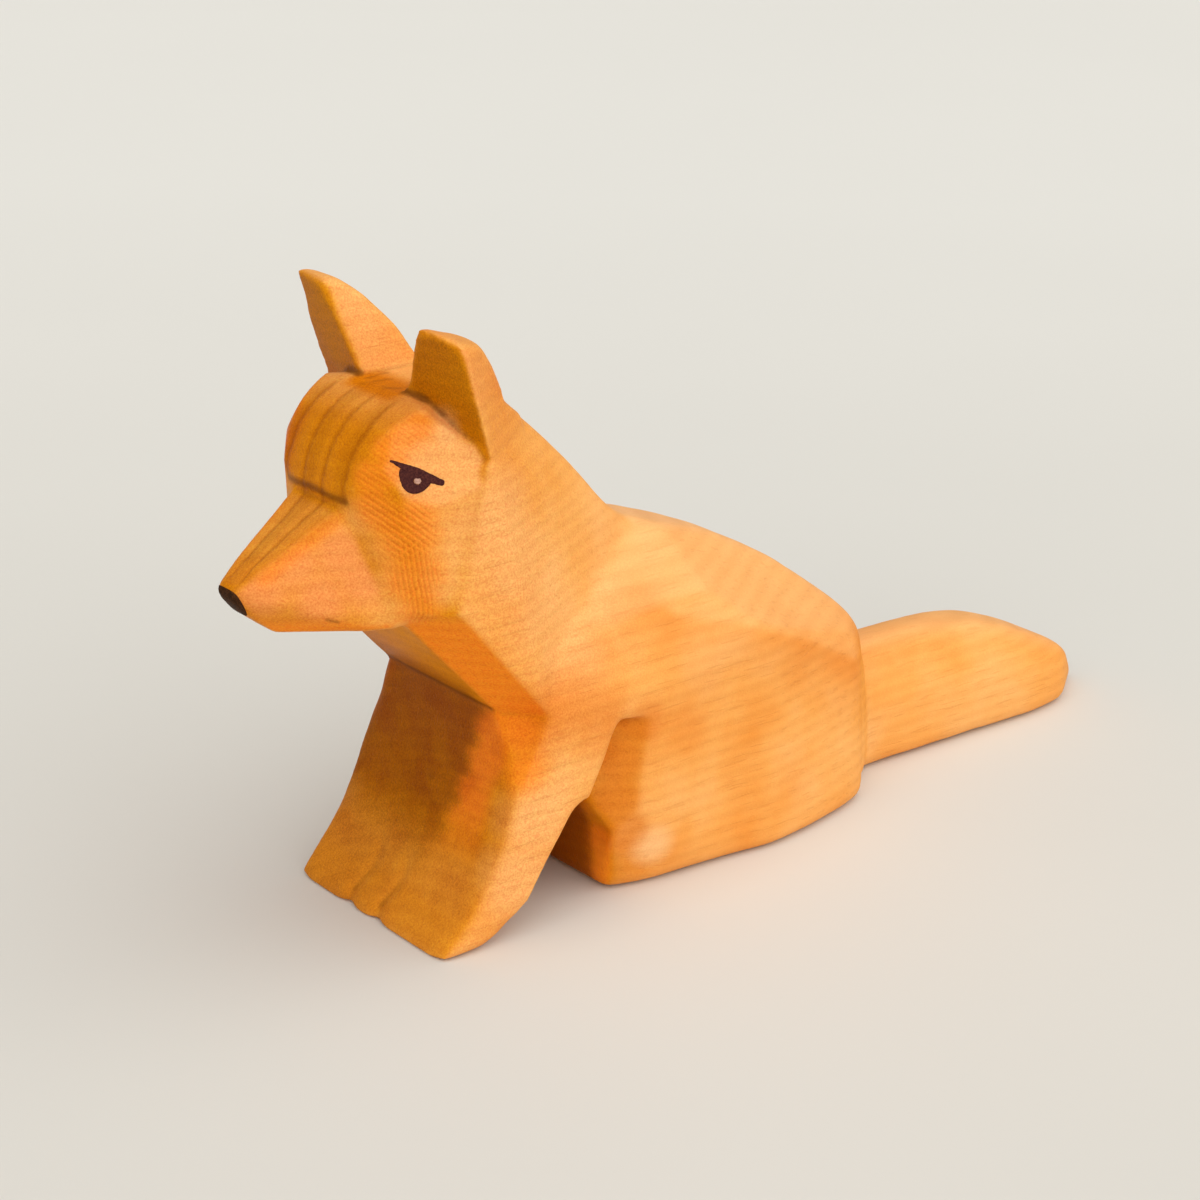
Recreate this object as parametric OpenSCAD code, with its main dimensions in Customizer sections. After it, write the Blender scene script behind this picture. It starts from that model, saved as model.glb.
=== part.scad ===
// Carved wooden dog, lying on its haunches and propped on straight forelegs, with its
// tail flat on the floor behind it. One board is sawn to the side view, then every
// surface is shaved flat with a knife. The eyes and the nose are painted on.
// Lengths are in millimetres and angles in degrees. The dog looks along -X and stands
// on Z = 0, and the middle of its length and width is over the origin.

/* [Board] */
// Thickness of the board, which is the width of the dog
board_t = 29; // [25:0.5:34]

/* [Forelegs] */
// Distance of the crease under the throat behind the toes
crease_x = 9; // [7:0.1:11]
// Height of the crease under the throat
crease_z = 25.6; // [23:0.1:28]
// Width of the front of the legs at that crease
chest_w = 19.6; // [16:0.1:24]
// Depth of the hollow in the front of the legs
leg_hollow = 2.4; // [0.4:0.1:3]
// Distance of the shoulder point behind the crease
shoulder_set = 4; // [3:0.1:6]
// Length of the sole of the forefoot
sole_len = 5.5; // [4:0.1:8]
// Width of the arch between the sole and the haunches
arch_w = 17.5; // [14:0.1:20]
// Height of that arch
arch_z = 13.8; // [10:0.1:16]
// Distance between the two cuts that part the toes
toe_pitch = 5.4; // [4:0.1:8]
// How far that pair of cuts lies to the right of the middle
toe_shift = 1.4; // [0:0.1:2]
// Depth of the toe cuts
toe_cut = 0.7; // [0.3:0.1:1.2]

/* [Muzzle] */
// Reach of the nose in front of the toes
nose_reach = 17.8; // [15:0.1:21]
// Height of the underside of the jaw
jaw_z = 37.4; // [35:0.1:41]
// Distance of the chin behind the nose
chin_set = 5; // [4:0.1:7]
// Length of the underside of the jaw
jaw_len = 11.4; // [9:0.1:14]
// Width across the back corners of the jaw
jaw_w = 19; // [16:0.1:22]
// Width of the nose
nose_w = 3.2; // [2.4:0.1:4.4]
// Height of the top of the nose above the jaw
nose_up = 5.4; // [4.6:0.1:6.4]
// Length from the nose to the stop, the step under the forehead
muzzle_len = 12.2; // [10:0.1:15]
// Height of the stop above the jaw
stop_up = 13.1; // [11:0.1:15]
// Width of the top of the muzzle at the stop
stop_w = 8.6; // [7:0.1:10]
// Width across the muzzle where it meets the cheeks
cheek_w = 16.5; // [14:0.1:19]

/* [Skull] */
// Overhang of the forehead at the stop
brow_step = 0.8; // [0.3:0.1:1.5]
// Width across the edges of the forehead
brow_w = 12; // [10:0.1:14]
// Rise of the curve of the forehead
forehead_bow = 2.3; // [1.6:0.1:3]
// Width across the inner corners of the eyes
temple_w = 18.2; // [16:0.1:21]
// Length from the stop to the ears
crown_len = 8.3; // [7:0.1:10]
// Height of the crown above the jaw
crown_up = 23.6; // [21:0.1:26]

/* [Ears] */
// Height of the tip of the right ear above the crown
ear_h = 9.4; // [6:0.1:12]
// How much lower the left ear was carved
left_ear_dip = 0.8; // [0:0.1:2]
// Slope of the top of the left ear to the outside
left_ear_slope = 5; // [0:1:12]
// Slope of the top of the left ear to the back
left_ear_fall = 20; // [0:1:35]
// Width of the gap between the ears at the crown
ear_gap = 7.8; // [6:0.1:10]
// Lean of the inner faces of the ears away from upright
ear_flare = 25; // [15:1:32]
// Forward lean of the front faces of the ears
ear_lean = 15; // [8:1:20]
// Turn of the front faces away from square
ear_turn = 9.5; // [4:0.5:15]
// Drop of the outer corner of the ear below the crown
ear_drop = 5.7; // [4:0.1:7]
// Length of the ear at its root
ear_root = 8; // [6.5:0.1:10]

/* [Neck and back] */
// Distance of the withers behind the toes
withers_x = 28; // [26:0.1:31]
// Height of the withers
withers_z = 44.2; // [42:0.1:47]
// Width of the ridge along the back
ridge_w = 10; // [8:0.1:13]
// Width of the nape behind the ears
nape_w = 16.8; // [14:0.1:20]
// Height of the back behind the withers
back_z = 39.5; // [37:0.1:41]
// Height of the top of the rump
rump_z = 23.7; // [20:0.1:26]

/* [Haunches] */
// Length from the toes to the back of the haunches
body_len = 67.5; // [62:0.5:75]
// Depth of the hollow between the shoulder and the thigh
flank_dip = 2.4; // [1:0.1:3]
// Distance of the rim of the thigh behind the front of the haunch
thigh_set = 4.5; // [3.5:0.1:6]
// Height of the top of the thigh
thigh_z = 31.5; // [29:0.1:34]
// Width across the back of the haunches
rump_w = 14; // [12:0.1:16]
// Width of the chamfer around the sole of the haunches
haunch_chamfer = 1.6; // [0.8:0.1:2.4]

/* [Tail] */
// Length of the tail behind the haunches
tail_len = 42.5; // [34:0.5:52]
// Width of the tail where it leaves the haunches
tail_root_w = 10; // [8:0.1:12]
// Width of the tail near its end
tail_w = 12.4; // [9:0.1:15]
// Height of the tail where it leaves the haunches
tail_root_z = 16; // [13:0.1:19]
// Height of the tail where its end starts to round off
tail_end_z = 8.3; // [6:0.1:11]
// Length of the rounded end of the tail
tail_round = 6; // [4:0.1:9]

/* [Paint] */
// Width of the eye
eye_w = 6; // [4.5:0.1:7]
// Distance of the middle of the eye behind the inner corner of the temple
eye_set = 3.1; // [2:0.1:4]
// Height of the eyelid above that corner
eye_up = 0.5; // [0:0.1:1]
// Slope of the eyelid
eye_slant = 6; // [0:1:12]
// Thickness of the line of the eyelid
lid_t = 0.9; // [0.5:0.1:1.3]
// Width of the iris
iris_w = 3.1; // [2.4:0.1:3.6]
// Height of the whole oval of the iris
iris_h = 2.8; // [2.2:0.1:3.4]
// Diameter of the pale dot in the iris
glint_d = 0.7; // [0.4:0.1:1]
// Depth to which the paint is laid into the wood
paint_t = 0.4; // [0.2:0.1:0.6]

/* [Hidden] */
$fn = 32;

half = board_t / 2;
haunch_x = sole_len + arch_w;
haunch_mid = (haunch_x + body_len) / 2;
nose_x = -nose_reach;
nose_z = jaw_z + nose_up;
chin_x = nose_x + chin_set;
throat_x = chin_x + jaw_len;
stop_x = nose_x + muzzle_len;
stop_z = jaw_z + stop_up;
crown_x = stop_x + crown_len;
crown_z = jaw_z + crown_up;
ear_z = crown_z + ear_h;
nape_x = crown_x + ear_root;
nape_z = crown_z - 1;
back_x = withers_x + 8;
rump_x = body_len - 3.5;
tip_x = body_len + tail_len;
mid_x = (tip_x - nose_reach) / 2;
reach = board_t + tip_x + nose_reach;

// Points from a to b, without b, on a bow that rises to the left of the way there
function bow(a, b, rise, steps = 6) = [
    for (i = [0 : steps - 1])
        let (t = i / steps, way = b - a)
            a + t * way + 4 * rise * t * (1 - t) * [-way[1], way[0]] / norm(way)
];

// Curve of the forehead in the side view, from the stop to the crown
crown = [crown_x, crown_z];
forehead = bow([stop_x - brow_step, stop_z + 1], crown, forehead_bow, 10);

// Corners of the knife facets on one side of the dog
nose_top = [nose_x + 0.2, nose_w / 2, nose_z];
nose_tip = [nose_x, nose_w / 2 - 0.2, nose_z - 0.7];
nose_low = [nose_x + 1.4, nose_w / 2 - 0.1, nose_z - 2.5];
chin = [chin_x, nose_w / 2 + 0.3, jaw_z];
jaw = [throat_x - 1.1, jaw_w / 2, jaw_z];
lip = [throat_x - 4, jaw_w / 2 - 0.9, jaw_z + 0.9];
stop = [stop_x, stop_w / 2, stop_z];
snout_side = nose_top + 0.73 * (stop - nose_top) + [0, 0.8, -1.6];
cheek_high = [stop_x + 1.6, cheek_w / 2 - 2.1, stop_z - 1.1];
cheek = [stop_x + 3.6, cheek_w / 2, stop_z - 5.3];
cheek_low = [throat_x - 1.9, jaw_w / 2 + 0.3, jaw_z + 0.9];
brow_low = [stop_x - 0.1, brow_w / 2 - 1.2, stop_z + 1];
temple_low = [stop_x + 1.9, temple_w / 2 - 1.7, stop_z + 2];
temple = [stop_x + 2.2, temple_w / 2, stop_z + 4.5];
under_eye = temple + [1, 1.6, -2.7];
ear_in = [crown_x, ear_gap / 2, crown_z];
ear_out = [crown_x + 3.2, half, crown_z - ear_drop];
temple_high = ear_in + 0.57 * (ear_out - ear_in) + [-2, 0.6, 1];
temple_back = ear_out + [-2.3, -0.9, -2.6];
cheek_back = [stop_x + 6, cheek_w / 2 + 4.3, stop_z + 0.8];
ruff = [throat_x + 2.9, half - 2.5, stop_z - 4.2];
ruff_low = [throat_x + 1.7, half - 1.5, jaw_z + 2.2];
crease = [crease_x, chest_w / 2, crease_z];
shoulder = [crease_x + shoulder_set, half, crease_z];
chest_edge = [crease_x - 0.9, chest_w / 2 + 1.7, crease_z - 4.3];
leg_edge = [-0.5, half, -1];
elbow = [crease_x + shoulder_set - 1, half, crease_z - 3.2];
nape = [nape_x, nape_w / 2, nape_z];
withers = [withers_x, ridge_w / 2, withers_z];
rib = [haunch_x - 2.5, half - flank_dip, arch_z + 2];
rib_top = [haunch_x - 3, half - 2.6, thigh_z + 2.5];
arch_top = [sole_len + 0.72 * arch_w, arch_z];
notch_low = [arch_top[0] + 0.8, half, arch_z - 0.2];
notch_top = [haunch_x, half, arch_z + 8.2];
knee = [haunch_x, half - flank_dip, arch_z + 4.6];
thigh_rim_low = [haunch_x + thigh_set - 2, half, arch_z - 3.1];
thigh_rim_high = [haunch_x + thigh_set, half, arch_z + 7.6];
thigh_front = [haunch_x + thigh_set, half, thigh_z - 7];
thigh_top = [haunch_x + thigh_set + 9.3, half, thigh_z - 4.9];
flank_front = [haunch_x + 7.3, half - flank_dip, thigh_z + 1.4];
flank_top = [haunch_x + 14, half - flank_dip, thigh_z + 1.8];
flank_mid = [haunch_mid, half, thigh_z - 4.5];
flank_back = [body_len - 7.5, half, thigh_z - 14];
ridge_front = [withers_x + 5.4, ridge_w / 2, back_z - 0.4];
ridge_mid = [haunch_mid, ridge_w / 2, back_z - 5.3];
ridge_back = [rump_x - 8, ridge_w / 2, rump_z + 7];
rump_side = [haunch_mid, half, 0];
rump_corner = [body_len - 4.2, rump_w / 2 + 3.8, 0];
rump_back = [body_len, rump_w / 2, 0];

// Side view of the dog behind the face, sawn through the whole board
module sawn_blank() {
    toe = [0, 0];
    throat = [throat_x - 3, jaw_z + 3 * (jaw_z - crease_z) / (crease_x - throat_x)];
    forehead_back = [crown_x - 3, stop_z + 2];
    ear_front = [crown_x - ear_h * tan(ear_lean) - 1, ear_z];
    ear_back = [crown_x + 0.5, ear_z];
    saddle = [back_x, back_z];
    rump = [rump_x, rump_z];
    tail_root = [body_len - 0.5, tail_root_z];
    tail_end = [tip_x - tail_round, tail_end_z];
    outline = concat(
        bow(toe, [crease_x, crease_z], -leg_hollow),
        [[crease_x, crease_z], throat, forehead_back, ear_front],
        bow(ear_back, [nape_x, nape_z], 1.4),
        bow([nape_x, nape_z], [withers_x, withers_z], 0.8),
        bow([withers_x, withers_z], saddle, -0.6, 3),
        bow(saddle, rump, 1.8),
        bow(rump, tail_root, 0.9, 3),
        bow(tail_root, tail_end, 1.7),
        bow(tail_end, [tip_x, 2], 1, 4),
        [[tip_x, 2], [tip_x - 0.8, 0], [haunch_x, 0]],
        [[haunch_x - 0.3, 0.6 * arch_z], arch_top + [1.6, -0.4], arch_top],
        [arch_top + [-1.6, -0.8], [sole_len + 3.8, 3.2], [sole_len + 1.6, 0.9], [sole_len, 0]]
    );
    rotate([90, 0, 0])
        linear_extrude(board_t, center = true)
            polygon(outline);
}

// Everything on one side of the plane through a point and along two directions,
// on the side that the last direction points to
module half_space(point, along, across, side) {
    square = cross(along, across);
    n = square / norm(square) * sign(square * side);
    translate(point)
        rotate([0, acos(n[2]), atan2(n[1], n[0])])
            translate([-reach, -reach, 0])
                cube([2 * reach, 2 * reach, reach]);
}

// Wood outside the plane through three corners, to be shaved off the left side
module shaving(a, b, c) {
    half_space(a, b - a, c - a, [0, 1, 0]);
}

module both_sides() {
    children();
    mirror([0, 1, 0]) children();
}

// Smallest faceted lump that holds the corners on one side and their mirror images
module lump(corners) {
    both = concat(corners, [for (p = corners) [p[0], -p[1], p[2]]]);
    hull()
        polyhedron(both, [[for (i = [0 : len(both) - 1]) i]]);
}

// Length of the blank between two distances behind the toes, as wide as the board
module length_of_board(from_x, to_x, from_z, to_z) {
    translate([from_x, -half - 1, from_z])
        cube([to_x - from_x, board_t + 2, to_z - from_z]);
}

module muzzle() {
    lump([
        nose_top, nose_tip, nose_low, chin, lip, jaw, cheek_low, snout_side, stop, cheek_high, cheek,
        jaw + [5, -4, 4],
        cheek + [6, -1, 0]
    ]);
}

module skull() {
    spread = brow_w / 4;
    middle_strip = [for (p = forehead) [p[0], spread, p[1]]];
    side_strip = [
        for (i = [1 : len(forehead) - 1])
            let (p = forehead[i])
                [p[0] + 0.3, brow_w / 2 + spread * i / len(forehead), p[1] - 0.3]
    ];
    proud = [for (p = [temple, under_eye, temple_high, temple_back]) p + [0, 0.15, 0]];
    inside = [ear_in + [6, 0, -1], ear_out + [3, -3, -3], ruff + [6, 0, -2]];
    difference() {
        lump(concat(
            middle_strip,
            side_strip,
            proud,
            [brow_low, temple_low, ear_in, ear_out],
            [cheek_high, cheek_back, cheek, cheek_low, ruff, ruff_low],
            inside
        ));
        both_sides() shaving(temple_high, temple, temple_back);
    }
}

// Everything in front of the front face of an ear
module before_ear() {
    up = [-tan(ear_lean) * ear_h, 0, ear_h];
    out = [tan(ear_turn) * half, half, 0];
    half_space(ear_in, up, out, [-1, 0, 0]);
}

module ears() {
    difference() {
        length_of_board(crown_x - 4, nape_x + 4, crown_z - ear_drop - 4, ear_z + 2);
        both_sides() {
            before_ear();
            shaving(
                ear_out,
                ear_out + [-(ear_drop + ear_h) * tan(ear_lean), 0, ear_drop + ear_h],
                [nape_x - 0.9, half - 4.5, crown_z + 4]
            );
        }
    }
}

module neck() {
    difference() {
        length_of_board(throat_x - 5, withers_x + 8, 0.6 * crease_z, crown_z + 2);
        both_sides() {
            shaving(ruff_low, ruff, cheek_low + [1, 0, 0]);
            shaving(crease + [0, 0.5, 0], shoulder, ruff_low);
            shaving(shoulder, shoulder + [3, 0, -13], rib);
            shaving(ear_out, nape, withers);
            half_space(ear_out, [0, 1, 0], nape - ear_out, [0, 0, 1]);
        }
    }
}

module forelegs() {
    difference() {
        union() {
            length_of_board(-1, haunch_x - 1, -1, rib_top[2]);
            length_of_board(crease_x, haunch_x + thigh_set + 1, arch_z - 1, rib_top[2]);
        }
        both_sides() {
            back_cuts();
            shaving(crease, shoulder, chest_edge);
            shaving(chest_edge, elbow, leg_edge);
            shaving(shoulder, thigh_front, rib_top);
        }
    }
}

// Facets between the ridge of the back and the flank
module back_cuts() {
    shaving(flank_front, flank_top, ridge_front);
    shaving(flank_top, flank_mid, ridge_mid);
    shaving(flank_mid, flank_back, ridge_back);
}

// Ribs and back, narrower than the shoulders and the thighs
module trunk() {
    difference() {
        translate([shoulder[0] + 3, flank_dip - half, arch_z - 4])
            cube([flank_mid[0] - shoulder[0], board_t - 2 * flank_dip, withers_z]);
        both_sides() back_cuts();
    }
}

// Notch that parts the thigh from the foreleg, from the arch up to where it runs out
module thigh_notch() {
    intersection() {
        shaving(thigh_rim_low, thigh_rim_high, knee);
        half_space(notch_low, [0, 1, 0], notch_top - notch_low, [1, 0, 0]);
        half_space(notch_top, [0, 1, 0], thigh_rim_high - notch_top, [0, 0, -1]);
    }
}

module haunches() {
    sole_front = [haunch_x, half - 3, 0];
    sole_side = [haunch_x + 5, half - haunch_chamfer, 0];
    difference() {
        length_of_board(haunch_x - 8, body_len + 0.5, -1, withers_z);
        both_sides() {
            back_cuts();
            shaving(thigh_front, thigh_top, flank_front);
            shaving(rump_side, rump_side + [0, 0, 9], rump_corner);
            shaving(rump_corner, rump_corner + [0, 0, 9], rump_back);
            shaving(sole_front, sole_side, thigh_rim_low);
            shaving(sole_side, sole_side + [15, 1.3, 0], sole_side + [7, haunch_chamfer, 3]);
        }
    }
}

module tail() {
    root = [body_len, tail_root_w / 2, 0];
    end = [tip_x - 13, tail_w / 2, 0];
    up = [0, 0, 5];
    difference() {
        length_of_board(body_len - 6, tip_x + 1, -1, tail_root_z + 1);
        both_sides() {
            shaving(root, root + up, end);
            shaving(end + [7, 0, 0], end + [7, 0, 5], [tip_x - 1.5, tail_w / 4, 0]);
            shaving(
                [body_len + 3, tail_root_w / 2, tail_root_z - 6],
                end + [0, 0, tail_end_z - 2],
                [body_len + 12, tail_root_w / 4, tail_root_z - 1]
            );
        }
    }
}

// The gap between the ears
module ear_gap_cut() {
    top = ear_h + 4;
    spread = ear_gap / 2 + top * tan(ear_flare);
    translate([crown_x - 6, 0, crown_z - 0.2])
        rotate([90, 0, 90])
            linear_extrude(ear_root + 12)
                polygon([[-ear_gap / 2, 0], [ear_gap / 2, 0], [spread, top], [-spread, top]]);
}

// Top of the left ear, which was carved lower and slopes to the outside and the back
module left_ear_cut() {
    translate([crown_x - ear_h * tan(ear_lean), -half / 2, ear_z - left_ear_dip])
        rotate([left_ear_slope, left_ear_fall, 0])
            translate([-ear_h, -half, 0])
                cube([ear_root + 2 * ear_h, 1.5 * half, ear_h]);
}

// Notches that part the toes. They stand steeper than the legs, so they run out upwards
module toe_cuts() {
    toe_h = crease_z / 4;
    lean = atan2(crease_x, crease_z) - 1.5;
    for (y = [toe_shift - toe_pitch / 2, toe_shift + toe_pitch / 2])
        hull()
            for (z = [-1, toe_h])
                translate([z * tan(lean), y, z])
                    rotate(45)
                        cube([sqrt(2) * toe_cut, sqrt(2) * toe_cut, 0.1], center = true);
}

// Lays what is drawn flat on the temple of the right side, X to the nose and Y up
module on_temple() {
    along = (temple - temple_back) / norm(temple - temple_back);
    square = cross(along, temple_high - temple);
    n = square / norm(square) * sign(square[1]);
    up = cross(n, along);
    tilt = acos(n[2]);
    turn = atan2(n[1], n[0]);
    down_slope = [cos(tilt) * cos(turn), cos(tilt) * sin(turn), -sin(tilt)];
    level = [-sin(turn), cos(turn), 0];
    translate(temple - eye_set * along + eye_up * up)
        rotate([0, tilt, turn])
            rotate(atan2(along * level, along * down_slope) + eye_slant)
                children();
}

// A patch of paint, most of its depth laid into the wood
module patch() {
    translate([0, 0, -0.75 * paint_t])
        linear_extrude(paint_t)
            children();
}

// Brush stroke of the eyelid, thin at both ends
module lid_shape() {
    end = eye_w / 2;
    hull() {
        translate([end - 0.15 * lid_t, 0.2 * lid_t]) circle(d = 0.3 * lid_t);
        circle(d = lid_t);
        translate([0.2 * lid_t - end, -0.1 * lid_t]) circle(d = 0.4 * lid_t);
    }
}

// Dab of the iris, which hangs from the eyelid
module iris_shape() {
    intersection() {
        hull()
            for (x = [iris_h - iris_w, iris_w - iris_h])
                translate([x / 2, -lid_t]) circle(d = iris_h);
        translate([-iris_w, -2 * iris_w]) square(2 * iris_w);
    }
}

// Dot of light in the iris
module glint_shape() {
    translate([-0.1 * iris_w, -0.5 * lid_t - 0.8 * glint_d]) circle(d = glint_d);
}

// Right side as drawn, left side as its mirror image, moved to the middle of the dog
module placed(side) {
    translate([-mid_x, 0, 0])
        mirror([0, side == "left" ? 1 : 0, 0])
            children();
}

module carved_body() {
    color("peru")
        translate([-mid_x, 0, 0])
            difference() {
                union() {
                    muzzle();
                    skull();
                    intersection() {
                        sawn_blank();
                        union() {
                            ears();
                            neck();
                            forelegs();
                            trunk();
                            haunches();
                            tail();
                        }
                    }
                }
                ear_gap_cut();
                left_ear_cut();
                toe_cuts();
                nose_cap();
                both_sides() thigh_notch();
                both_sides()
                    on_temple()
                        patch() {
                            lid_shape();
                            iris_shape();
                        }
            }
}

// Painted front of the muzzle
module nose_cap() {
    intersection() {
        muzzle();
        half_space(nose_top + [paint_t, 0, 0], [0, 1, 0], nose_low - nose_top, [-1, 0, 0]);
    }
}

module nose_paint() {
    color("#3a2418")
        translate([-mid_x, 0, 0])
            nose_cap();
}

module lid_line(side) {
    color("#43201f")
        placed(side)
            on_temple()
                patch() lid_shape();
}

module iris_paint(side) {
    color("#4a2322")
        placed(side)
            on_temple()
                patch()
                    difference() {
                        iris_shape();
                        lid_shape();
                        glint_shape();
                    }
}

module eye_glint(side) {
    color("#c9a08e")
        placed(side)
            on_temple()
                patch() glint_shape();
}

carved_body();
nose_paint();
iris_paint("left");  // left_iris_paint
iris_paint("right");  // right_iris_paint
lid_line("left");  // left_lid_line
lid_line("right");  // right_lid_line
eye_glint("left");  // left_eye_glint
eye_glint("right");  // right_eye_glint
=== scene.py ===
import math

import bmesh
import bpy
import numpy as np
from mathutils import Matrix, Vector, noise


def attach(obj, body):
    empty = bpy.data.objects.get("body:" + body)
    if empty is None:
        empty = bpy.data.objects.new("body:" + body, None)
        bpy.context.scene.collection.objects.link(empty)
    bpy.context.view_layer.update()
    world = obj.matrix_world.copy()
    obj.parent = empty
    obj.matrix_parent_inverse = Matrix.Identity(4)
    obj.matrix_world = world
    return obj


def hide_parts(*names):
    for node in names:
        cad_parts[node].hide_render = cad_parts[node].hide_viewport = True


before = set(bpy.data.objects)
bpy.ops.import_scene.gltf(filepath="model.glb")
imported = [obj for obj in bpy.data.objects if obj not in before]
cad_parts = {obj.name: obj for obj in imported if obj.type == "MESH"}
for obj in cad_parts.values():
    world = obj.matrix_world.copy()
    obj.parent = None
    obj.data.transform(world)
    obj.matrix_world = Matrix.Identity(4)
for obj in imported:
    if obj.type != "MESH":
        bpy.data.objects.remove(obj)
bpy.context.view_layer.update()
scene = bpy.context.scene

# Carved body. One block of pale close-grained wood, sawn to the side view and shaved flat
# with a knife all over, so it is long facets with softly worn edges under a yellow wax.
# The pockets for the paint are closed here, because the paint lies on whole wood.
MM = 0.001
SKIN = 0.28 * MM
SAME_SPOT = 0.001 * MM
PAINT_PROUD = 0.1 * MM
RUBS = 130
BODY_TRIANGLES = 185000
SIDES = {"left": -1, "right": 1}


def add_node(solid, name):
    """Adds a merged copy of a CAD solid, and gives its corners."""
    before = len(solid.verts)
    solid.from_mesh(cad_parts[name].data)
    solid.verts.ensure_lookup_table()
    bmesh.ops.remove_doubles(solid, verts=solid.verts[before:], dist=SAME_SPOT)
    solid.verts.ensure_lookup_table()
    return solid.verts[before:]


def node_copy(name):
    """A CAD solid by itself."""
    solid = bmesh.new()
    add_node(solid, name)
    return solid


def voxel_skin(solid, size):
    """An even net of small faces over a solid."""
    mesh = bpy.data.meshes.new("solid")
    solid.to_mesh(mesh)
    solid.free()
    block = bpy.data.objects.new("block", mesh)
    scene.collection.objects.link(block)
    net = block.modifiers.new("net", "REMESH")
    net.mode = "VOXEL"
    net.voxel_size = size
    fine = bpy.data.meshes.new_from_object(block.evaluated_get(bpy.context.evaluated_depsgraph_get()))
    bpy.data.objects.remove(block)
    bpy.data.meshes.remove(mesh)
    skin = bmesh.new()
    skin.from_mesh(fine)
    bpy.data.meshes.remove(fine)
    return skin


def wear(skin, times):
    """Rubs edges round."""
    for _ in range(times):
        bmesh.ops.smooth_vert(
            skin, verts=skin.verts, factor=0.5, use_axis_x=True, use_axis_y=True, use_axis_z=True
        )


def middle_of(name):
    """The mean of a CAD solid's corners."""
    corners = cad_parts[name].data.vertices
    return sum((corner.co for corner in corners), Vector()) / len(corners)


def piece_of(name, skin, material):
    """A finished piece, smooth shaded, on the one body of the dog."""
    mesh = bpy.data.meshes.new(name)
    for face in skin.faces:
        face.smooth = True
    skin.to_mesh(mesh)
    skin.free()
    mesh.materials.append(material)
    piece = bpy.data.objects.new(name, mesh)
    scene.collection.objects.link(piece)
    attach(piece, "root")
    return piece


block = node_copy("carved_body")
add_node(block, "nose_paint")
for side, turn in SIDES.items():
    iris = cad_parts[side + "_iris_paint"].data
    eye_out = max((face.normal for face in iris.polygons), key=lambda normal: turn * normal.y)
    for part in ("_iris_paint", "_lid_line", "_eye_glint"):
        bmesh.ops.translate(block, verts=add_node(block, side + part), vec=-PAINT_PROUD * eye_out)

carving = voxel_skin(block, SKIN)
wear(carving, 2)
carving.verts.index_update()
count = len(carving.verts)
pairs = np.array([[vert.index for vert in edge.verts] for edge in carving.edges])
ends = np.concatenate((pairs[:, 0], pairs[:, 1]))
others = np.concatenate((pairs[:, 1], pairs[:, 0]))
valence = np.bincount(ends, minlength=count)
spots = np.array([vert.co for vert in carving.verts]) / MM
x, y, z = spots.T.copy()
out = np.abs(y)


def around(values):
    """Mean of the neighbours of each spot."""
    return np.bincount(ends, weights=values[others], minlength=count) / valence


def rise(values, start, end):
    """0 up to the start, 1 from the end on, and even in between. The end may be the lower one."""
    return np.clip((values - start) / (end - start), 0, 1)


def swell(values, start, end):
    """0 at the start and at the end, and 1 in the middle."""
    return np.sin(math.pi * rise(values, start, end))


def oval_end(values, start, end, share):
    """1 at the start, and from there less and less, as the end of an oval narrows."""
    return np.sqrt(1 - (share * rise(values, start, end)) ** 2)


def near(points, inner, outer):
    """1 within the inner distance of any of the points on either side, 0 beyond the outer."""
    off = np.min([np.sqrt((x - a) ** 2 + (out - b) ** 2 + (z - c) ** 2) for a, b, c in points], 0)
    return rise(off, outer, inner)


# how round each spot is rubbed: hardly on the head and the legs, most on the haunches and the tail;
# all places on the dog are in mm, with the nose at -64 and the end of the tail at 64
CHEEK = [(-50, 6.2, 49.4), (-48.6, 7.6, 46.5), (-48.4, 8.5, 43), (-49.2, 9.6, 39.5)]
RUFF = [(-45.7, 12.5, 51.3), (-44.8, 12.2, 48.5), (-44.8, 12.2, 45.5), (-45.2, 12.5, 43)]
THIGH = [(-22.1, 12.9, 16.6), (-19.9, 13.7, 21.1), (-22.5, 13, 12), (-21.5, 13, 8)]
EAR_TOPS = [(-44.9, 7.8, 69.2), (-42, 7.3, 68.2), (-38.9, 6.8, 67), (-43.5, 14.4, 68), (-38, 11, 66)]
TOE_CUTS = (-1.3, 4.1)
to_toe_cut = np.min([np.abs(y - cut) for cut in TOE_CUTS], 0)
on_forelegs = rise(x, -36, -38)
soft = 0.012 + 0.38 * rise(x, -36, -20)
for amount in (
    0.9 * rise(z, 9, 4) * rise(x, -26, -22),
    rise(x, 8, 14),
    0.12 * rise(x, -60.5, -62.5),
    0.6 * near(EAR_TOPS, 0.5, 3.5),
    0.2 * rise(z, 61, 63),
    0.3 * rise(z, 4, 1),
    0.45 * rise(out, 10, 13) * rise(z, 26, 20) * on_forelegs,
    0.8 * rise(out, 11, 13) * rise(z, 5, 2) * on_forelegs,
    0.6 * rise(to_toe_cut, 2.2, 1.2) * rise(z, 8, 6) * rise(x, -38, -40),
    0.4 * near(CHEEK, 1.2, 3.6),
    0.6 * near(RUFF, 1.5, 4),
):
    soft = np.maximum(soft, amount)
soft *= 1 - 0.75 * near(THIGH, 2.5, 5)

# what the knife left fuller or slimmer than the plain facets, in mm, and the tail as shares of its size;
# moved_x, moved_y and moved_z are views of the spots, so changing them moves the spots
FAR_EAR_WIDER, FAR_FOOT_WIDER, FAR_SHOULDER_CUT = 0.8, 0.3, 1.2
TOES_LONGER, TOE_CUT_FILLED, HEEL_CUT = 1.7, 0.5, 0.7
TAIL_FULLER, TAIL_END_LONGER = 0.09, 0.17
moved_x, moved_y, moved_z = spots.T
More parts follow.
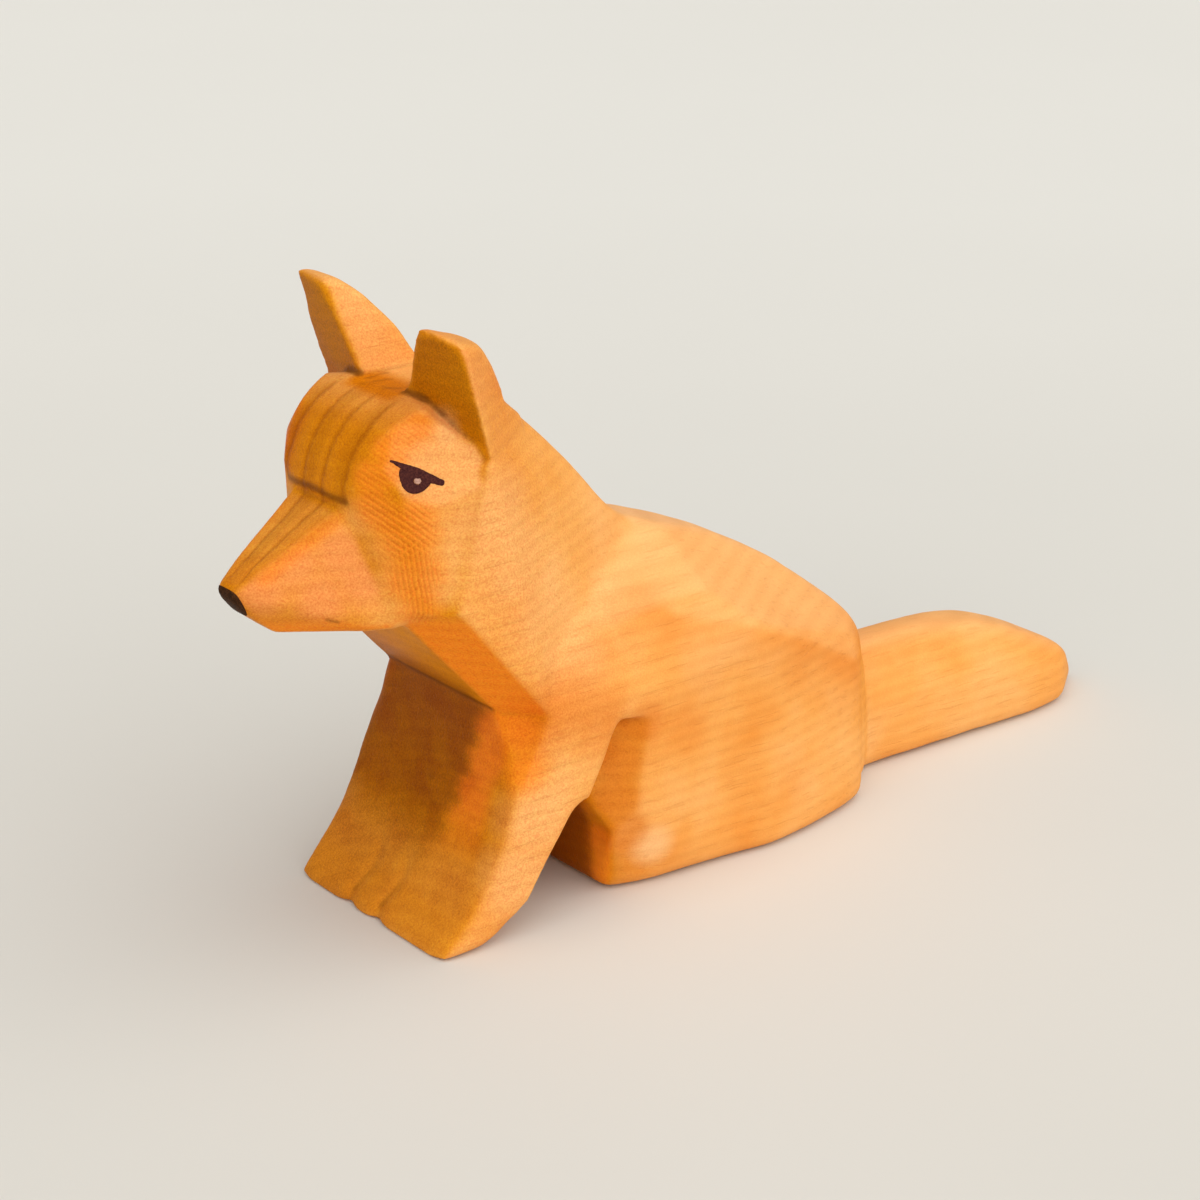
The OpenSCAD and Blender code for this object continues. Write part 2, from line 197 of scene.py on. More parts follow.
# haunches and tail that spread towards the floor
spread = 0.08 * rise(x, -4, 12) + 0.05 * swell(x, -6, 18) + 0.12 * rise(x, 20, 24)
moved_y *= 1 + spread * rise(z, 20, 4)
# a tail that is full in the middle and round at its end
moved_y *= oval_end(x, 49, 64.5, 0.95)
moved_z *= 1 + TAIL_FULLER * swell(x, 26, 64) ** 2
moved_z *= oval_end(x, 54, 64, 0.85)
moved_x += TAIL_END_LONGER * np.maximum(x - 55, 0)
# the far ear, the toes, and the cuts between them
moved_y += FAR_EAR_WIDER * rise(z, 60, 63) * rise(y, 8, 11)
moved_x -= TOES_LONGER * rise(z, 13, 0) ** 1.6 * rise(x, -36, -44)
moved_x -= TOE_CUT_FILLED * rise(to_toe_cut, 0.9, 0) * rise(z, 7, 0) * (x < -38)
# the rear corners of the haunches
heel = (rise(x, 14.5, 19.5) * rise(out, 5.5, 8.5)) ** 2
moved_x -= HEEL_CUT * heel
moved_y -= HEEL_CUT * heel * np.sign(y)
# the far shoulder and the far foot
moved_y -= FAR_SHOULDER_CUT * rise(y, 5, 10) * swell(z, 11, 30) ** 2 * rise(x, -28, -38)
moved_y += FAR_FOOT_WIDER * rise(y, 6, 10) * rise(z, 8, 1) * rise(x, -35, -42)
for _ in range(RUBS):
    means = np.stack([around(spots[:, axis]) for axis in range(3)], 1)
    spots += 0.5 * soft[:, None] * (means - spots)
for vert, spot in zip(carving.verts, spots):
    vert.co = spot * MM

# knife strokes leave each facet slightly uneven, long in the direction of the grain
STROKE_LENGTH, STROKE_WIDTH, STROKE_DEPTH = 9, 5, 0.07
CHATTER_LENGTH, CHATTER_DEPTH = 1.7, 0.015
carving.normal_update()
eyes = [middle_of(side + "_iris_paint") for side in SIDES]
for vert in carving.verts:
    spot = vert.co / MM
    stroke = noise.noise(Vector((spot.x / STROKE_LENGTH, spot.y / STROKE_WIDTH, spot.z / STROKE_WIDTH)))
    chatter = noise.noise(spot / CHATTER_LENGTH)
    to_eye = min((vert.co - eye).length for eye in eyes) / MM
    uneven = rise(to_eye, 3.5, 6.5) * (1 - 0.7 * rise(spot.z, 61, 63))
    vert.co += vert.normal * uneven * (STROKE_DEPTH * stroke + CHATTER_DEPTH * chatter) * MM
# soft grooves that run up from the cuts between the toes, and flat soles
TOE_GROOVES = (-1, 4.2)
GROOVE_WIDTH, GROOVE_DEPTH = 0.9, 0.45
for vert in carving.verts:
    spot = vert.co / MM
    if spot.x < -36 and spot.z < 9 and vert.normal.x < -0.3:
        bent = spot.y - 0.4 * math.sin(1.1 * spot.z)
        groove = max(math.exp(-(((bent - middle) / GROOVE_WIDTH) ** 2)) for middle in TOE_GROOVES)
        groove *= rise(spot.z, 8, 2) * rise(spot.z, -0.3, 1.7)
        vert.co -= vert.normal * GROOVE_DEPTH * MM * groove
for vert in carving.verts:
    vert.co.z = max(vert.co.z, 0)


def node(tree, kind, inputs=None, **settings):
    """A shader node with its settings, and its inputs either linked or set."""
    made = tree.nodes.new(kind)
    for key, value in settings.items():
        setattr(made, key, value)
    for key, value in (inputs or {}).items():
        if isinstance(value, bpy.types.NodeSocket):
            tree.links.new(value, made.inputs[key])
        else:
            made.inputs[key].default_value = value
    return made


def value_math(tree, operation, a, b=0.0, clamp=False):
    """One step of arithmetic on a value."""
    made = node(tree, "ShaderNodeMath", {0: a, 1: b}, operation=operation, use_clamp=clamp)
    return made.outputs[0]


def scaled(tree, a, b, clamp=False):
    """A value made stronger or weaker."""
    return value_math(tree, "MULTIPLY", a, b, clamp)


def mapped(tree, value, low, high, first=0.0, last=1.0):
    """A value from low to high made to run from first to last."""
    return node(tree, "ShaderNodeMapRange", {0: value, 1: low, 2: high, 3: first, 4: last}).outputs[0]


def clouds(tree, place, scale, detail):
    """Soft spots without a pattern."""
    settings = {"Vector": place, "Scale": scale, "Detail": detail}
    return node(tree, "ShaderNodeTexNoise", settings).outputs[0]


def mixed(tree, blend, factor, below, colour):
    """A colour laid over what is below it."""
    if not isinstance(colour, bpy.types.NodeSocket):
        colour = (*colour, 1)
    settings = {"data_type": "RGBA", "blend_type": blend}
    return node(tree, "ShaderNodeMix", {0: factor, 6: below, 7: colour}, **settings).outputs[2]


def ramp(tree, factor, *stops):
    """Colours that run into each other as the factor grows."""
    made = node(tree, "ShaderNodeValToRGB", {"Fac": factor})
    elements = made.color_ramp.elements
    while len(elements) < len(stops):
        elements.new(0.5)
    for element, (position, colour) in zip(elements, stops):
        element.position = position
        element.color = (*colour, 1)
    return made.outputs["Color"]


def new_coat(name):
    """A new material, with its tree and its shader."""
    made = bpy.data.materials.new(name)
    made.use_nodes = True
    return made, made.node_tree, made.node_tree.nodes["Principled BSDF"]


# the grain of the wood, which also shows through the paint: growth rings along the board,
# short dark pores, a fine speckle and wide blotches
grain = bpy.data.node_groups.new("wood_grain", "ShaderNodeTree")
for output in ("Rings", "Pores", "Speckle", "Blotches"):
    grain.interface.new_socket(output, in_out="OUTPUT", socket_type="NodeSocketFloat")
wood = node(grain, "ShaderNodeTexCoord").outputs["Object"]
board = node(
    grain,
    "ShaderNodeMapping",
    {"Vector": wood, "Location": (0, 0.011, 0.034), "Rotation": (0, 0.05, 0.03), "Scale": (0.12, 1, 1)},
)
rings = node(
    grain,
    "ShaderNodeTexWave",
    {"Vector": board.outputs[0], "Scale": 190, "Distortion": 5, "Detail": 2, "Detail Scale": 0.35},
    wave_type="RINGS",
    rings_direction="X",
)
fibres = node(grain, "ShaderNodeMapping", {"Vector": wood, "Scale": (0.09, 1, 1)}).outputs[0]
grain_out = grain.nodes.new("NodeGroupOutput")
for name, socket in (
    ("Rings", rings.outputs["Fac"]),
    ("Pores", mapped(grain, clouds(grain, fibres, 2600, 1), 0.58, 0.72)),
    ("Speckle", clouds(grain, wood, 5000, 2)),
    ("Blotches", clouds(grain, wood, 70, 3)),
):
    grain.links.new(socket, grain_out.inputs[name])

# the wood under its wax, with each stain, painted shade and painted sheen laid where the attribute of its
# name says
wax, tree, shader = new_coat("waxed_wood")
figure = node(tree, "ShaderNodeGroup", node_tree=grain).outputs


def stain(name):
    """How much of this stain each spot takes."""
    return node(tree, "ShaderNodeAttribute", attribute_name=name).outputs["Fac"]


SIDE_TONES = ((0.32, (0.8, 0.285, 0.046)), (0.5, (0.85, 0.37, 0.088)), (0.7, (0.88, 0.44, 0.142)))
# the end grain takes more stain, and its tones are darker still as painted shade on faces turned from the
# lamps
END_TONES = ((0.3, (0.64, 0.197, 0.002)), (0.7, (0.76, 0.275, 0.004)))
side_tone = ramp(tree, figure["Blotches"], *SIDE_TONES)
end_tone = ramp(tree, figure["Blotches"], *END_TONES)
tone = mixed(tree, "MIX", stain("end_grain_and_shade"), side_tone, end_tone)
for blend, mask, strength, colour in (
    # a paler painted sheen on faces turned up and on lit places
    ("MIX", stain("painted_sheen"), 0.75, (0.92, 0.5, 0.205)),
    ("MIX", stain("rosy"), 0.7, (0.83, 0.28, 0.085)),
    ("MIX", stain("rust"), 0.68, (0.9, 0.238, 0.015)),
    # dark stain on the front of the chest and legs, with painted shade under the head
    ("MULTIPLY", stain("chest_stain_and_shade"), 1, (0.52, 0.42, 0.06)),
    # painted shade on the haunch's front, in the recess under the arch
    ("MULTIPLY", stain("recess_shade"), 1, (0.5, 0.38, 0.4)),
    # dark stain blotches, with painted shade at the tail root, on the far brow and below the flank's line
    ("MULTIPLY", stain("stain_and_shade"), 1, (0.92, 0.75, 0.62)),
    # painted shade on the front faces of the ears
    ("MULTIPLY", stain("ear_front"), 1, (0.72, 0.68, 0.4)),
    ("MULTIPLY", figure["Rings"], 0.13, (0.6, 0.42, 0.2)),
    ("MULTIPLY", figure["Pores"], 0.14, (0.6, 0.4, 0.22)),
):
    tone = mixed(tree, blend, scaled(tree, mask, strength), tone, colour)
spot = node(tree, "ShaderNodeTexCoord").outputs["Object"]
place = node(tree, "ShaderNodeSeparateXYZ", {0: spot}).outputs
cloudy = mapped(tree, clouds(tree, spot, 260, 4), 0.42, 0.62, 0, 0.55)
tone = mixed(tree, "MULTIPLY", scaled(tree, cloudy, stain("mottled")), tone, (0.72, 0.52, 0.35))
grainy = mapped(tree, place["X"], -0.035, -0.015, 0.45, 0.12)
fleck = ramp(tree, figure["Speckle"], (0.32, (0.25, 0.25, 0.25)), (0.68, (0.75, 0.75, 0.75)))
tone = mixed(tree, "OVERLAY", grainy, tone, fleck)

# the fine teeth of the last knife strokes: slanting on brow and cheek, upright on the jaw
SLANT_TEETH, JAW_TEETH = (8100, 8300), (15500, 1500)
wobble = clouds(tree, spot, 420, 1)


def teeth(pitch, mask):
    """Even ridges across a direction in the side view, a little wavy."""
    pitch_x, pitch_z = pitch
    run = value_math(tree, "ADD", scaled(tree, place["X"], pitch_x), scaled(tree, place["Z"], pitch_z))
    run = value_math(tree, "ADD", run, scaled(tree, wobble, 2.6))
    return scaled(tree, value_math(tree, "SINE", run), mask)


cut_wave = value_math(
    tree, "ADD", teeth(SLANT_TEETH, stain("ridged")), teeth(JAW_TEETH, stain("upright"))
)
tone = mixed(tree, "MULTIPLY", scaled(tree, cut_wave, 0.32, clamp=True), tone, (0.62, 0.45, 0.3))

# long strips down the forehead and the snout, closer at the nose, with a dark line between each two, and
# painted shade that makes some strips darker than others, as facets turned from the light
STRIP_PITCH, STRIP_START = 898, 0.6
closer = mapped(tree, place["X"], -0.062, -0.052, 1.8, 1)
lane = value_math(tree, "ADD", place["Y"], scaled(tree, wobble, 0.0009))
lane = scaled(tree, scaled(tree, lane, closer), STRIP_PITCH)
swing = value_math(tree, "SINE", value_math(tree, "SUBTRACT", lane, STRIP_START))
line = value_math(tree, "POWER", value_math(tree, "ABSOLUTE", swing), 16.0)
on_strips = stain("strips")
line = scaled(tree, line, on_strips)
tone = mixed(tree, "MULTIPLY", scaled(tree, line, 0.5), tone, (0.55, 0.42, 0.2))
# painted shade, darker on some strips than on others
strip_shade = value_math(tree, "SINE", scaled(tree, lane, 1.31))
strip_shade = scaled(tree, scaled(tree, strip_shade, on_strips), 0.45, clamp=True)
tone = mixed(tree, "MULTIPLY", strip_shade, tone, (0.72, 0.68, 0.4))

# edges are pale, worn and with a painted highlight, and creases dark with painted shade; pores, teeth and
# lines lie deeper than the rest
tone = mixed(tree, "MIX", scaled(tree, stain("edge"), 0.3), tone, (0.95, 0.5, 0.16))
tone = mixed(tree, "MIX", scaled(tree, stain("crease"), 0.8), tone, (0.13, 0.034, 0.003))
tree.links.new(tone, shader.inputs["Base Color"])
height = scaled(tree, figure["Speckle"], 0.3)
for dent, depth in ((figure["Pores"], 0.5), (cut_wave, 0.85), (line, 1)):
    height = value_math(tree, "SUBTRACT", height, scaled(tree, dent, depth))
bump = node(tree, "ShaderNodeBump", {"Height": height, "Strength": 0.45, "Distance": 0.00012})
tree.links.new(bump.outputs[0], shader.inputs["Normal"])
tree.links.new(mapped(tree, figure["Blotches"], 0.3, 0.7, 0.42, 0.56), shader.inputs["Roughness"])
shader.inputs["Specular IOR Level"].default_value = 0.06
shader.inputs["Specular Tint"].default_value = (1, 0.8, 0.5, 1)

nose_skin = carving.copy()
dog = piece_of("carved_dog", carving, wax)
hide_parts("carved_body")

# where the spots of the finished wood lie, which way they face, and how far they are bent
mesh = dog.data
spots = np.empty(count * 3, np.float32)
mesh.vertices.foreach_get("co", spots)
spots = spots.reshape(-1, 3)
normals = np.empty(count * 3, np.float32)
mesh.vertex_normals.foreach_get("vector", normals)
normals = normals.reshape(-1, 3)
lift = np.stack([around(spots[:, axis]) for axis in range(3)], 1) - spots
bend = (lift * normals).sum(1) / SKIN
for _ in range(2):
    bend = 0.5 * bend + 0.5 * around(bend)
x, y, z = (spots / MM).T
out = np.abs(y)
ahead, sideways, up = -normals[:, 0], np.abs(normals[:, 1]), normals[:, 2]


def facet(forward, outward, upward, width):
    """1 on the cut that faces this way on either side, 0 beyond the width."""
    turned = np.sign(y) * normals[:, 1] * outward
    return rise(normals[:, 0] * forward + turned + up * upward, 1 - 2 * width, 1 - width)


def cuts(*corners):
    """Points close together along a bent line."""
    return [
        tuple(np.array(a) + (np.array(b) - a) * step / 12)
        for a, b in zip(corners, corners[1:])
        for step in range(13)
    ]


# places on the head, from the brow down to the throat
BROW = [(-49.4, 9.1, 54.8), (-48.7, 9.1, 56.1), (-50.7, 7.7, 54.2), (-48.8, 8.4, 56.9)]
BROW += [(-45.6, 9.4, 58.8), (-50.2, 7.9, 52.5), (-47.2, 8.9, 58)]
UNDER_EYE = [(-50.4, 8.3, 50.9), (-49.3, 9.8, 49.4), (-47.7, 11.4, 50)]
UNDER_EYE += [(-47.5, 11.6, 48.2), (-48.9, 10.3, 47.4)]
JAW = [(-48, 11.2, 46.1), (-47.1, 12, 44.1), (-48.6, 10.6, 43.4), (-47.6, 11.5, 41.7), (-47.4, 11.6, 39.6)]
MUZZLE = [(-57.6, 3.8, 45.2), (-53.2, 5.8, 45.8), (-51.6, 7.3, 43.1), (-60.9, 2.9, 43), (-55.5, 5.4, 41.5)]
SNOUT_EDGE = cuts((-53, 4.9, 49.4), (-54.4, 4, 48.3), (-57.2, 3.5, 46.4), (-60.5, 2.8, 44.1))
STOP_CUT = cuts((-52.5, 0, 51.4), (-52.4, 2.5, 51.2), (-52, 5.2, 51.1))
EAR_CUT = cuts((-43.5, 4.2, 60.9), (-43, 6.7, 60.7), (-42.6, 7.5, 60.3), (-42.1, 9, 59.3))
EAR_FOOT = [(-42.2, 9.5, 58.9), (-43.2, 10.6, 57.8)]
front = rise(ahead, 0.15, 0.7) + 0.45 * rise(ahead, -0.15, -0.7)
facing = rise(ahead, 0.55, 0.85)
temple = facet(-0.42, 0.84, 0.35, 0.012) * rise(x, -39, -41) * rise(z, 48, 50)
# the far strip of the brow, which takes painted shade
shaded_far_brow = facing * rise(y, 4.2, 5.2) * rise(z, 51, 52) * rise(z, 61, 59)
crown = rise(z, 60, 60.5) * rise(up, 0.6, 0.8) * rise(out, 5, 4) * rise(x, -40, -42)
ear_in = facet(0, -0.91, 0.42, 0.03) * rise(z, 61, 62)
ear_side = rise(z, 60, 62) * rise(out, 9, 10) * rise(sideways, 0.5, 0.8)
throat = facet(-0.63, 0.6, -0.5, 0.04) * rise(z, 24, 26) * rise(z, 40, 38)
strip_reach = np.where(z > 50.8, 6.8, 3 + 0.24 * (x + 60))

# places on the body and the legs
NECK = [(-36.5, 14.1, 43.8), (-39.3, 14.5, 48.9), (-29.9, 12.3, 32.6), (-33, 13.3, 38)]
SHOULDER = [(-24.9, 12.9, 30.4), (-20.4, 11.7, 33), (-18, 11.2, 33.6), (-26.6, 13.3, 29.2)]
DAMP = [(-28.8, 14.3, 26), (-32.9, 14.4, 24.8), (-26.2, 14.5, 23)]
FLANK = [(6, 13.1, 20), (10, 12.3, 18), (12.3, 11.8, 15.5), (2.5, 13.8, 7.4)]
FLANK += [(-11.2, 14.5, 23.3), (-13, 14.5, 20)]
# the top of the tail's root, which takes painted shadow from the haunch
SHADED_TAIL_ROOT = [(25, 2.5, 15), (30, 2.5, 15)]
LEG = [(-34.5, 14.5, 13.5), (-37.3, 14.5, 7.2)]
ELBOW = [(-36.3, 11, 25.2), (-35.9, 12.4, 23.4), (-36, 14.1, 19.5)]
# the lit part of the knee's front, given a lighter orange as painted light
LIT_KNEE_FRONT = [(-23.3, 10.8, 2), (-23.3, 10.8, 6), (-23.3, 12, 4)]
# a painted highlight on the side of the knee
KNEE_HIGHLIGHT = [(-18.2, 14.3, 5.4)]
CHEST_CUT = cuts((-37.2, 0, 26), (-37.2, 9.6, 26))
on_chest = rise(x, -30, -33)
# the dark of the chest, a stain with painted shade under the head, ends in a wavy line, lower down less far
# to the left, and a rusty strip follows
chest_line = -4.5 - 0.25 * (z - 12) + 0.5 * np.sin(1.7 * z) + 0.3 * np.sin(3.9 * z + 1)
chest_dark = np.maximum(rise(z, 4, 12), 0.35 * rise(y, -3, 4)) * rise(z, 30, 27)
strip = 0.6 * facing * rise(y - chest_line, 1, -1) * rise(z, 8, 14) * rise(z, 27, 25) * (x > -42)
strip *= rise(out - 2 * rise(z, 17, 20), 11.5, 9.5)
# a line along the flank where its shading turns: a painted sheen above it, and painted shade just below
shading_line = np.interp(x, (-23.5, -17.4, -12.7, -5.3, 6.2, 15.2), (35.2, 34.1, 31, 28.9, 23.7, 18.5))
on_flank = rise(x, -24, -20) * rise(x, 17, 15) * rise(sideways, 0.4, 0.7)
sheen_above = on_flank * rise(z - shading_line, -0.4, 0.4)
below = on_flank * rise(z - shading_line, 0.4, -0.4) * rise(z - shading_line, -8, -2)


def most(*parts):
    """The strongest of the parts at each spot."""
    return np.max(parts, 0)


masks = {
    # faces towards the front and back: end grain that takes more stain, made darker still with painted shade
    "end_grain_and_shade": most(front, crown) * (1 - 0.85 * temple) * (1 - 0.7 * near(RUFF + CHEEK, 1.5, 3.5)),
    # painted sheen on faces turned up, and painted highlights on the knee, neck, leg side, temple and the
    # flank above its line
    "painted_sheen": most(
        rise(up, 0.45, 0.9) * rise(x, -34, -22) * (1 - 0.35 * rise(x, 20, 30)),
        1.3 * near(KNEE_HIGHLIGHT, 1.2, 3.5),
        0.45 * near(NECK, 3, 7),
        0.5 * near(LEG, 2.5, 6),
        0.35 * sheen_above,
        0.14 * facing * rise(z, 11, 7) * on_chest,
        0.45 * temple,
        0.6 * near(EAR_FOOT, 0.8, 2),
    ),
    # dark stain on the front of the chest and legs, with painted shade under the head
    "chest_stain_and_shade": facing * chest_dark * on_chest * rise(y - chest_line, -1, 1),
    # dark stain blotches, with painted shade at the tail root under the haunch, on the far brow and below
    # the flank's line
    "stain_and_shade": most(
        near(DAMP, 2, 6),
        0.6 * near(SHOULDER, 1.5, 4.5),
        near(THIGH, 2, 3.5),
        0.4 * near(FLANK + SHADED_TAIL_ROOT, 1, 5),
        0.6 * ear_in,
        strip,
        0.5 * below,
        0.8 * ear_side,
        shaded_far_brow,
        crown,
    ),
    "rust": most(
        near(UNDER_EYE, 1.2, 3),
        near(JAW, 1.2, 3),
        near(BROW, 1, 2.2),
        1.3 * throat,
        0.8 * near(SNOUT_EDGE, 0.4, 1.3),
        near(ELBOW, 1.2, 3.5),
        # painted light: a lighter orange on the lit part of the knee's front
        1.2 * facing * near(LIT_KNEE_FRONT, 1.5, 3),
        2 * strip,
    ),
    # painted shade on the haunch's front, in the recess under the arch
    "recess_shade": facing * rise(x, -26, -25) * rise(x, -18, -19) * rise(out, 10, 8.5),
    "rosy": near(MUZZLE, 1.5, 4) * rise(sideways, 0.55, 0.75),
    # painted shade on the front faces of the ears
    "ear_front": facet(-0.95, 0.16, -0.26, 0.03) * rise(z, 56, 58),
    "ridged": most(0.6 * near(BROW, 0.8, 1.9), near(UNDER_EYE, 0.8, 2.4)),
    "upright": near(JAW, 0.8, 2.2),
    "mottled": facing * rise(z, 28, 24) * on_chest * (1 - 0.4 * rise(z, 10, 5)),
    "strips": rise(ahead, 0.2, 0.4) * rise(z, 42, 45) * rise(out - strip_reach, 0, -0.7) * rise(x, -44, -46),
}
for _ in range(4):
    masks = {name: 0.5 * mask + 0.5 * around(mask) for name, mask in masks.items()}

# sharp marks: a painted highlight on the edges and painted shade in the creases, the knife's stop cuts,
# a dent in the chest and one in the jaw, and chips between the ears
CHEST_DENT = [(-38.5, 0.2, 14.9)]
JAW_DENT = cuts((-55.4, 6.3, 39.3), (-54.4, 6.8, 39))
dents = most(near(CHEST_DENT, 0.15, 0.5), near(JAW_DENT, 0.05, 0.3)) * (y < 0.5)
chips = most(
    near(cuts((-44.6, 1.6, 60.7), (-41.8, 1, 60.8)), 0.1, 0.45) * (y > 0),
    near(cuts((-43.5, 2.8, 60.8), (-40.5, 3.2, 60.8)), 0.1, 0.4) * (y > 0),
    near(cuts((-44.9, 0.6, 60.6), (-43, 2.6, 60.8)), 0.1, 0.45) * (y < 0),
)
masks["edge"] = rise(bend, -0.03, -0.13)
# painted shade in creases, stop cuts, dents and chips
masks["crease"] = most(
    rise(bend, 0.03, 0.13) * (1 - 0.85 * near(CHEEK, 2.5, 4)) * (1 - 0.85 * rise(x, 8, 12)),
    0.85 * near(STOP_CUT, 0.2, 0.65),
    near(EAR_CUT, 0.3, 0.75),
    near(CHEST_CUT, 0.2, 0.8),
    0.7 * dents,
    0.6 * chips,
)
for name, values in masks.items():
    mesh.attributes.new(name, "FLOAT", "POINT").data.foreach_set("value", values.astype(np.float32))

# flat places need fewer faces
thin = dog.modifiers.new("thin", "DECIMATE")
thin.ratio = min(1, BODY_TRIANGLES / (2 * len(mesh.polygons)))
dog.data = bpy.data.meshes.new_from_object(dog.evaluated_get(bpy.context.evaluated_depsgraph_get()))
dog.modifiers.clear()
bpy.data.meshes.remove(mesh)
dog.data.name = "carved_dog"

# Nose. A dab of thin dark brown paint on the blunt end of the muzzle, brushed straight on
# to the wood, so it follows the wood's own shape.
NOSE_REACH = 6 * MM
NOSE_LIFT, NOSE_THICKNESS = 0.05 * MM, 0.2 * MM
nose_seat = max(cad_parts["nose_paint"].data.polygons, key=lambda face: face.normal.x)
elsewhere = [vert for vert in nose_skin.verts if (vert.co - nose_seat.center).length > NOSE_REACH]
bmesh.ops.delete(nose_skin, geom=elsewhere, context="VERTS")
bmesh.ops.bisect_plane(
    nose_skin,
    geom=nose_skin.verts[:] + nose_skin.edges[:] + nose_skin.faces[:],
    plane_co=nose_seat.center,
    plane_no=nose_seat.normal,
    clear_outer=True,
)
nose_skin.normal_update()
for vert in nose_skin.verts:
    vert.co += vert.normal * NOSE_LIFT
bmesh.ops.solidify(nose_skin, geom=nose_skin.faces[:], thickness=NOSE_THICKNESS)


def paint(name, dark, light, roughness):
    """A thin uneven coat of paint, with the grain of the wood showing through."""
    made, tree, shader = new_coat(name)
    figure = node(tree, "ShaderNodeGroup", node_tree=grain).outputs
    tone = ramp(tree, figure["Speckle"], (0.35, dark), (0.7, light))
    tone = mixed(tree, "MIX", scaled(tree, figure["Pores"], 0.4), tone, light)
    tree.links.new(tone, shader.inputs["Base Color"])
    bump = node(tree, "ShaderNodeBump", {"Height": figure["Speckle"], "Strength": 0.4, "Distance": 0.0001})
    tree.links.new(bump.outputs[0], shader.inputs["Normal"])
    shader.inputs["Roughness"].default_value = roughness
    shader.inputs["Specular IOR Level"].default_value = 0.06
    return made


nose_coat = paint("nose_paint", (0.028, 0.01, 0.003), (0.075, 0.027, 0.008), 0.6)
nose = piece_of("nose_dab", nose_skin, nose_coat)
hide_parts("nose_paint")

# Eyes. A brown lid stroke over a dab for the iris, with a pale dot of light left in it.
# They are brushed on with thin paint, so their edges are soft and a little ragged.
EYE_LIFT = 0.06 * MM
RAGGED, RAGGED_LENGTH = 0.04 * MM, 0.35 * MM
noise.seed_set(1)
eye_parts = {
    "iris_paint": ("iris_dab", 0.08, "eye_paint", (0.04, 0.009, 0.009), (0.085, 0.022, 0.016)),
    "lid_line": ("lid_stroke", 0.07, "lid_paint", (0.04, 0.009, 0.009), (0.09, 0.023, 0.017)),
    "eye_glint": ("glint_dot", 0.05, "glint_paint", (0.38, 0.2, 0.14), (0.55, 0.33, 0.25)),
}
for part, (dab_name, net_size, slot, dark, light) in eye_parts.items():
    coat = paint(slot, dark, light, 0.5)
    for side, turn in SIDES.items():
        dab = voxel_skin(node_copy(side + "_" + part), net_size * MM)
        wear(dab, 3)
        outward = Vector((-0.42, 0.84 * turn, 0.35)).normalized()
        along = Vector((0.783, 0.5 * turn, -0.367)).normalized()
        upward = outward.cross(along) * -turn
        centre = middle_of(side + ("_lid_line" if part == "lid_line" else "_iris_paint"))
        dot_centre = middle_of(side + "_eye_glint")
        for vert in dab.verts:
            u, v = ((vert.co - centre).dot(way) / MM for way in (along, upward))
            if part == "lid_line":
                # the stroke starts thin at its inner end and is thicker from there on
                shift = (0, min(v, 0) * 0.8 * rise(u, -2.8, -0.8))
            else:
                # the dab is wide under the lid and narrow at its foot, and the dot sits high
                off = (vert.co - dot_centre).length / MM
                shift = (u * (0.3 * rise(v, 0, 1.2) - 0.28 * rise(v, 0, -1.5)), 0.2 * math.exp(-(off**2)))
            ragged = noise.noise_vector(vert.co / RAGGED_LENGTH)
            vert.co += RAGGED * Vector((ragged.x, 0.25 * ragged.y, ragged.z)) + EYE_LIFT * outward
            vert.co += along * (shift[0] * MM) + upward * (shift[1] * MM)
        dab_piece = piece_of(side + "_" + dab_name, dab, coat)
        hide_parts(side + "_" + part)

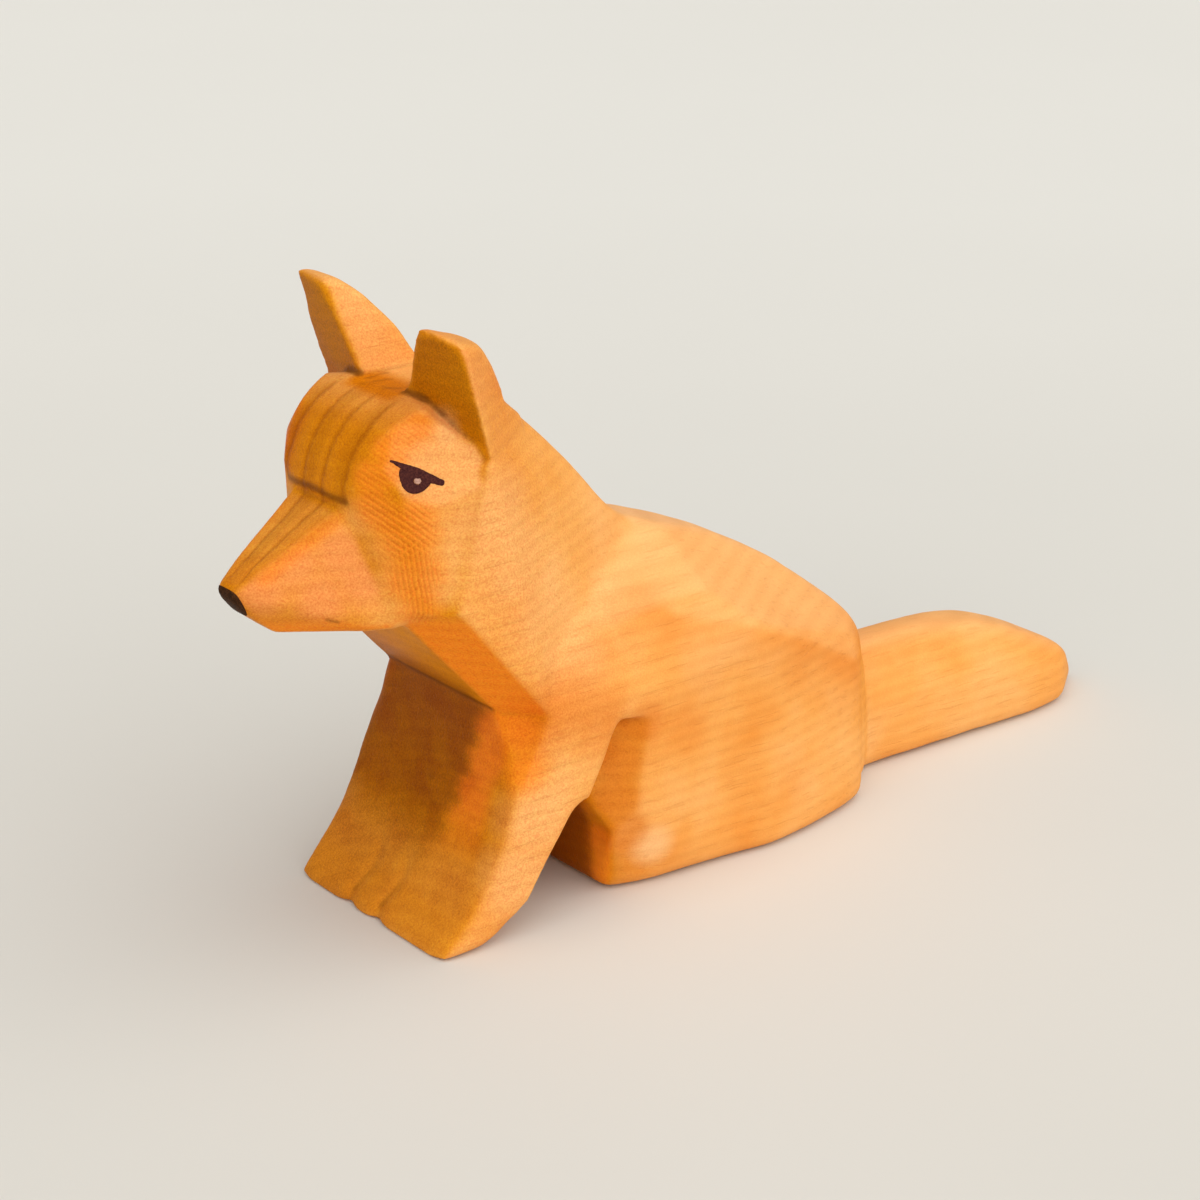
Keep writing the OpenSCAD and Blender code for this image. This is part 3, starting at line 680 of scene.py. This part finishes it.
# Table. A plain pale sheet that the dog stands on, matt like heavy paper.
# It lies flat, and painted light makes it a little lighter towards the back.
sheet = bmesh.new()
bmesh.ops.create_grid(sheet, x_segments=8, y_segments=8, size=3)
table_mesh = bpy.data.meshes.new("table")
sheet.to_mesh(table_mesh)
sheet.free()
table = bpy.data.objects.new("table", table_mesh)
scene.collection.objects.link(table)
table_coat, tree, shader = new_coat("pale_sheet")
spot = node(tree, "ShaderNodeTexCoord").outputs["Object"]
place = node(tree, "ShaderNodeSeparateXYZ", {0: spot}).outputs
paper = clouds(tree, spot, 6, 2)
sheet_tone = ramp(tree, paper, (0.3, (0.67, 0.655, 0.605)), (0.7, (0.7, 0.685, 0.635)))
painted_light_behind = mapped(tree, value_math(tree, "ADD", place["X"], place["Y"]), 0, 0.45, 0, 0.75)
sheet_tone = mixed(tree, "MIX", painted_light_behind, sheet_tone, (0.77, 0.765, 0.72))
tree.links.new(sheet_tone, shader.inputs["Base Color"])
shader.inputs["Roughness"].default_value = 0.8
table_mesh.materials.append(table_coat)

# Light. A wide soft lamp high on the left, a weaker one in front, and faint light from all round.
# The far wall is only seen, it lights nothing.
LAMPS = (("key", 3.25, (0.05, -0.82, 0.58)), ("fill", 0.5, (-0.6, -0.45, 0.66)))
for name, strength, from_where in LAMPS:
    lamp = bpy.data.lights.new(name, "SUN")
    lamp.energy = strength
    lamp.angle = math.radians(140)
    lamp.color = (1, 0.97, 0.93)
    lamp_stand = bpy.data.objects.new(name, lamp)
    scene.collection.objects.link(lamp_stand)
    lamp_stand.rotation_euler = Vector(from_where).to_track_quat("Z", "Y").to_euler()
world = bpy.data.worlds.new("studio")
world.use_nodes = True
scene.world = world
tree = world.node_tree
sky = tree.nodes["Background"]
sky.inputs["Color"].default_value = (0.97, 0.98, 1, 1)
sky.inputs["Strength"].default_value = 0.3
wall = node(tree, "ShaderNodeBackground", {"Color": (0.765, 0.755, 0.69, 1)})
seen = node(tree, "ShaderNodeLightPath").outputs["Is Camera Ray"]
room = node(tree, "ShaderNodeMixShader", {0: seen, 1: sky.outputs[0], 2: wall.outputs[0]})
tree.links.new(room.outputs[0], tree.nodes["World Output"].inputs["Surface"])

# Camera. Low and close on the left of the head, as in the photograph.
# It stands at this place and looks straight against this direction.
CAMERA_PLACE, CAMERA_BACK = (-0.202871, -0.234272, 0.14521), (-0.58499, -0.72757, 0.35837)
lens = bpy.data.cameras.new("camera")
lens.lens = 85
lens.sensor_width = 36
lens.clip_start = 0.01
lens.clip_end = 20
camera = bpy.data.objects.new("camera", lens)
scene.collection.objects.link(camera)
camera.location = CAMERA_PLACE
camera.rotation_euler = Vector(CAMERA_BACK).to_track_quat("Z", "Y").to_euler()
scene.camera = camera
scene.view_settings.view_transform = "Standard"
